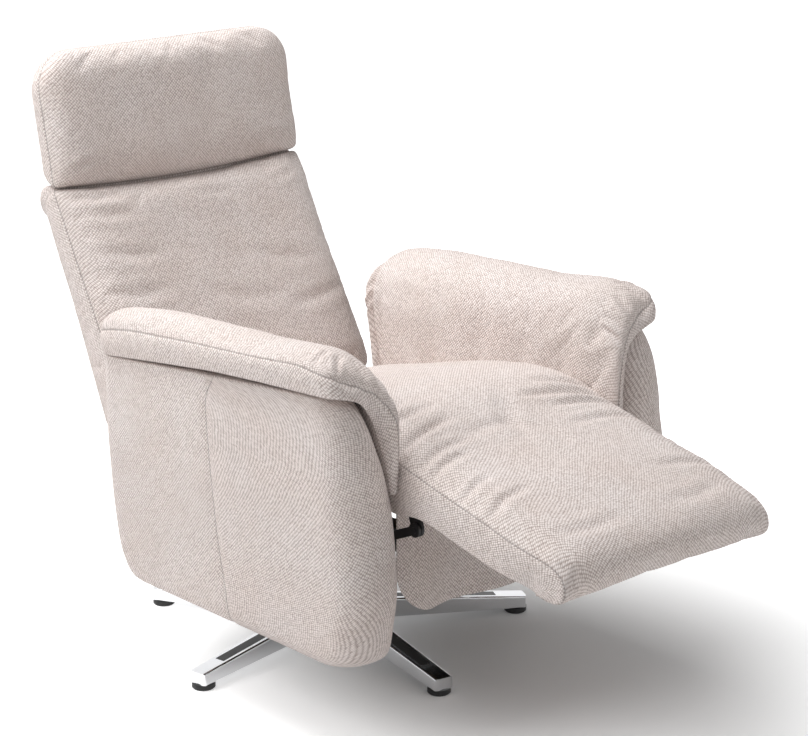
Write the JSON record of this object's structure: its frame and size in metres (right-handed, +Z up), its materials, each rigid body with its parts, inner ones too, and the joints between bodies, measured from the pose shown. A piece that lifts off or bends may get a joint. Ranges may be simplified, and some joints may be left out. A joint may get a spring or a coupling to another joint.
{
  "type": "recliner",
  "caption": "Swivel recliner in pale woven fabric with padded arms, tilting headrest, raised footrest and a five-arm polished star base.",
  "frame": {"origin": "on the floor under the swivel axis, at the centre of the star base", "axes": "+Z up along the swivel axis, the chair faces -Y and +X is the sitter's left"},
  "size_m": [0.75, 1.3456, 1.0299],
  "materials": {
    "upholstery": "pale beige two-tone basket weave",
    "base_aluminium": "polished casting",
    "black_inlay": "satin black strip",
    "black_glide": "moulded black",
    "bearing_plastic": "plain natural",
    "bright_steel": "zinc plated",
    "black_steel": "satin black powder coat",
    "timber": "planed, unvarnished",
    "webbing": "woven elastic band"
  },
  "bodies": {
    "base": {"star_base": "base_aluminium", "arm_inlay_1": "black_inlay", "arm_inlay_2": "black_inlay", "arm_inlay_3": "black_inlay", "arm_inlay_4": "black_inlay", "arm_inlay_5": "black_inlay", "foot_glide_1": "black_glide", "foot_glide_2": "black_glide", "foot_glide_3": "black_glide", "foot_glide_4": "black_glide", "foot_glide_5": "black_glide", "swivel_post": "bright_steel", "thrust_washer": "bearing_plastic"},
    "chassis": {"turntable": "black_steel", "plate_bolts": "bright_steel", "front_cross_tube": "black_steel", "rear_cross_tube": "black_steel", "side_plate_left": "black_steel", "side_plate_right": "black_steel", "seat_rail_left": "timber", "seat_rail_right": "timber", "seat_rail_rear": "timber", "seat_rail_front": "timber", "seat_webbing": "webbing", "seat_cushion": "upholstery", "knee_roll": "upholstery", "knee_rod": "bright_steel", "apron": "upholstery", "arm_panel_left": "upholstery", "arm_panel_right": "upholstery", "arm_pad_left": "upholstery", "arm_pad_right": "upholstery"},
    "legrest": {"legrest_cushion": "upholstery", "legrest_board": "timber", "legrest_bracket_left": "black_steel", "legrest_bracket_right": "black_steel"},
    "leg_drive": {"leg_torque_tube": "black_steel", "leg_crank_left": "black_steel", "leg_crank_right": "black_steel"},
    "push_bars": {"push_bar_left": "black_steel", "push_bar_right": "black_steel"},
    "backrest": {"back_torque_tube": "black_steel", "back_cushion": "upholstery", "back_stile_left": "timber", "back_stile_right": "timber", "back_rail_lower": "timber", "back_rail_upper": "timber", "back_webbing": "webbing", "back_bracket_left": "black_steel", "back_bracket_right": "black_steel", "back_rear_panel": "upholstery", "headrest_hinge_rod": "bright_steel", "hinge_roll": "upholstery"},
    "headrest": {"headrest_cushion": "upholstery", "headrest_board": "timber", "headrest_hinge_straps": "bright_steel", "headrest_rear_cover": "upholstery"},
    "strut_cylinder_body": {"strut_cylinder": "black_steel"},
    "strut_rod_body": {"strut_rod": "bright_steel"}
  },
  "joints": [
    {"name": "swivel", "type": "hinge", "parent": "base", "child": "chassis", "pos_m": [0, 0, 0], "axis": [0, 0, 1], "continuous": true},
    {"name": "back_recline", "type": "hinge", "parent": "chassis", "child": "backrest", "pos_m": [0, 0.198, 0.335], "axis": [1, 0, 0], "range_deg": [-20, 18]},
    {"name": "headrest_tilt", "type": "hinge", "parent": "backrest", "child": "headrest", "pos_m": [0, 0.46624, 0.75782], "axis": [1, 0, 0], "range_deg": [-15, 8]},
    {"name": "legrest_lift", "type": "hinge", "parent": "chassis", "child": "legrest", "pos_m": [0, -0.44004, 0.44001], "axis": [1, 0, 0], "range_deg": [0, 68]},
    {"name": "leg_crank_turn", "type": "hinge", "parent": "chassis", "child": "leg_drive", "pos_m": [0, -0.17, 0.322], "axis": [1, 0, 0], "range_deg": [0, 68]},
    {"name": "push_bar_swing", "type": "hinge", "parent": "leg_drive", "child": "push_bars", "pos_m": [0, -0.19809, 0.25246], "axis": [1, 0, 0], "range_deg": [-68, 0]},
    {"name": "strut_swing", "type": "hinge", "parent": "chassis", "child": "strut_cylinder_body", "pos_m": [0, -0.11, 0.252], "axis": [1, 0, 0], "range_deg": [-1.3, 1.2]},
    {"name": "strut_stroke", "type": "slide", "parent": "strut_cylinder_body", "child": "strut_rod_body", "axis": [0, 0.9963, 0.0855], "range_m": [-0.0196, 0.0177]}
  ],
  "couplings": [
    {"joint": "leg_crank_turn", "follows": "legrest_lift", "ratio": 1},
    {"joint": "push_bar_swing", "follows": "legrest_lift", "ratio": -1},
    {"joint": "strut_swing", "follows": "back_recline", "ratio": 0.058},
    {"joint": "strut_stroke", "follows": "back_recline", "m_per_rad": 0.0555}
  ]
}
